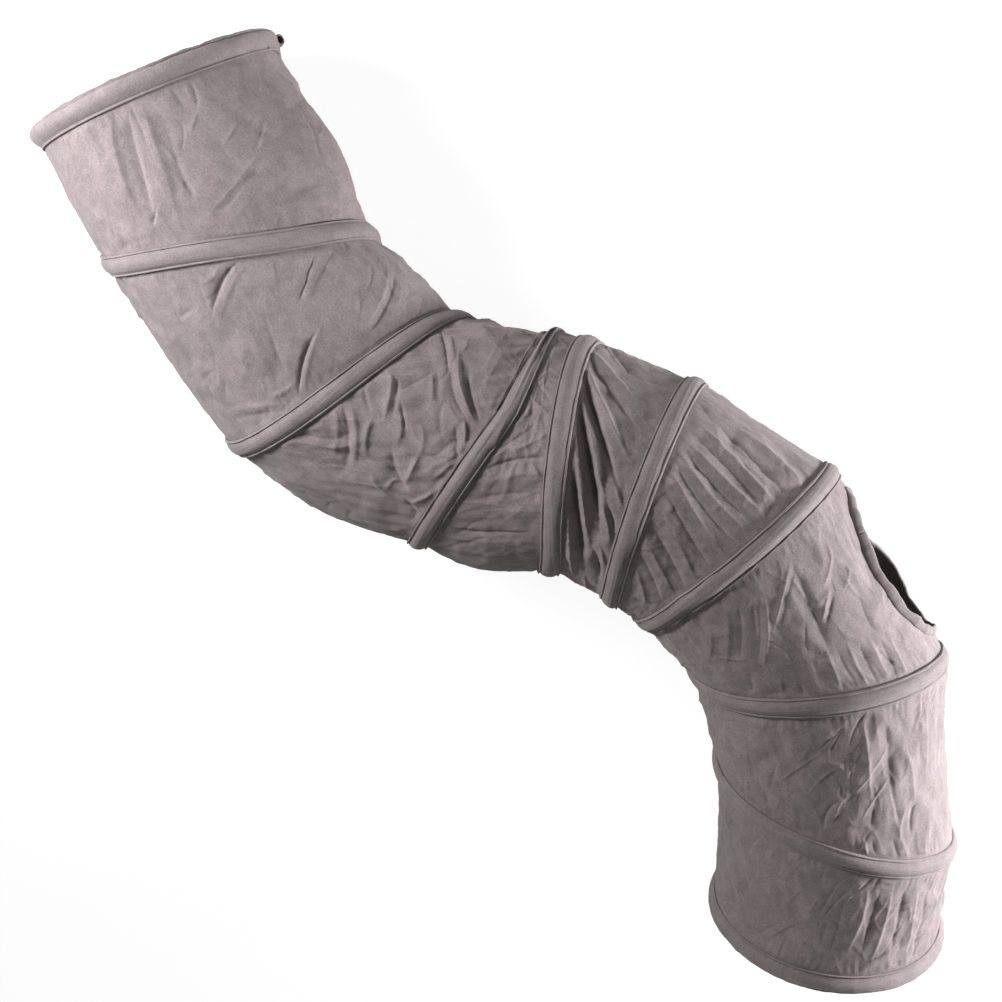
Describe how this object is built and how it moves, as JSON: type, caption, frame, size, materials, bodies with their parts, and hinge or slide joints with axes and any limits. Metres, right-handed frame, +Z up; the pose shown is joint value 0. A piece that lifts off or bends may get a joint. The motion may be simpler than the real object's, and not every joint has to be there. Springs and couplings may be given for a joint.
{
  "type": "cat tunnel",
  "caption": "Pop-up cat tunnel of suede-like cloth lying in an S, held open by a hidden left-hand spring wire in sewn casings, with hemmed round mouths and a wide peephole.",
  "frame": {"origin": "on the floor under the middle of the bounding box of the tunnel as it lies at rest", "axes": "+Z up; +X along the chord of the S from the front mouth to the rear mouth; +Y to the left of that"},
  "size_m": [1.2383, 0.4811, 0.2559],
  "materials": {
    "suede": "napped matt",
    "casing_suede": "napped matt",
    "spring_steel": "drawn wire",
    "ferrule_alloy": "pressed"
  },
  "bodies": {
    "section_01": {"cover_panel_01": "suede", "casing_turn_01": "casing_suede", "front_hem": "casing_suede", "wire_ferrule_front": "ferrule_alloy", "sleeve_end": "casing_suede", "spring_wire": "spring_steel"},
    "section_02": {"cover_panel_02": "suede", "casing_turn_02": "casing_suede"},
    "section_03": {"cover_panel_03": "suede", "casing_turn_03": "casing_suede"},
    "section_04": {"cover_panel_04": "suede", "casing_turn_04": "casing_suede"},
    "section_05": {"cover_panel_05": "suede", "casing_turn_05": "casing_suede"},
    "section_06": {"cover_panel_06": "suede", "casing_turn_06": "casing_suede"},
    "section_07": {"cover_panel_07": "suede", "casing_turn_07": "casing_suede"},
    "section_08": {"cover_panel_08": "suede", "casing_turn_08": "casing_suede", "peephole_binding": "casing_suede"},
    "section_09": {"cover_panel_09": "suede", "casing_turn_09": "casing_suede"},
    "section_10": {"cover_panel_10": "suede", "casing_turn_10": "casing_suede", "rear_hem": "casing_suede", "wire_ferrule_rear": "ferrule_alloy"}
  },
  "joints": [
    {"name": "fold_01", "type": "slide", "parent": "section_01", "child": "section_02", "axis": [-0.9593, 0.2823, 0], "range_m": [0, 0.156], "stiffness_N_per_m": 50, "deforming": ["cover_panel_01", "cover_panel_02", "casing_turn_01", "casing_turn_02", "spring_wire"]},
    {"name": "fold_02", "type": "hinge", "parent": "section_02", "child": "section_03", "pos_m": [-0.30971, 0.25065, 0.1277], "axis": [0, 0, -1], "range_deg": [0, 24.73], "stiffness_Nm_per_rad": 6.27, "deforming": ["cover_panel_02", "cover_panel_03", "casing_turn_02", "casing_turn_03", "spring_wire"]},
    {"name": "fold_03", "type": "hinge", "parent": "section_03", "child": "section_04", "pos_m": [-0.32691, 0.34259, 0.1277], "axis": [0, 0, -1], "range_deg": [0, 20.64], "stiffness_Nm_per_rad": 9.35, "deforming": ["cover_panel_03", "cover_panel_04", "casing_turn_03", "casing_turn_04", "spring_wire"]},
    {"name": "fold_04", "type": "hinge", "parent": "section_04", "child": "section_05", "pos_m": [-0.18724, 0.12833, 0.1277], "axis": [0, 0, -1], "range_deg": [0, 16.59], "stiffness_Nm_per_rad": 1.33, "deforming": ["cover_panel_04", "cover_panel_05", "casing_turn_04", "casing_turn_05", "spring_wire"]},
    {"name": "fold_05", "type": "hinge", "parent": "section_05", "child": "section_06", "pos_m": [0.28805, -0.20944, 0.1277], "axis": [0, 0, 1], "range_deg": [0, 8.51], "stiffness_Nm_per_rad": 8.11, "deforming": ["cover_panel_05", "cover_panel_06", "casing_turn_05", "casing_turn_06", "spring_wire"]},
    {"name": "fold_06", "type": "hinge", "parent": "section_06", "child": "section_07", "pos_m": [0.15457, -0.0717, 0.1277], "axis": [0, 0, 1], "range_deg": [0, 21.75], "stiffness_Nm_per_rad": 1.78, "deforming": ["cover_panel_06", "cover_panel_07", "casing_turn_06", "casing_turn_07", "spring_wire"]},
    {"name": "fold_07", "type": "hinge", "parent": "section_07", "child": "section_08", "pos_m": [0.18677, -0.17021, 0.1277], "axis": [0, 0, 1], "range_deg": [0, 28.15], "stiffness_Nm_per_rad": 3.96, "deforming": ["cover_panel_07", "cover_panel_08", "casing_turn_07", "casing_turn_08", "spring_wire", "peephole_binding"]},
    {"name": "fold_08", "type": "hinge", "parent": "section_08", "child": "section_09", "pos_m": [0.1654, -0.2635, 0.1277], "axis": [0, 0, 1], "range_deg": [0, 25.37], "stiffness_Nm_per_rad": 7.07, "deforming": ["cover_panel_08", "cover_panel_09", "casing_turn_08", "casing_turn_09", "spring_wire", "peephole_binding"]},
    {"name": "fold_09", "type": "slide", "parent": "section_09", "child": "section_10", "axis": [-0.7615, 0.6481, 0], "range_m": [0, 0.136], "stiffness_N_per_m": 50, "deforming": ["cover_panel_09", "cover_panel_10", "casing_turn_09", "casing_turn_10", "spring_wire"]}
  ]
}
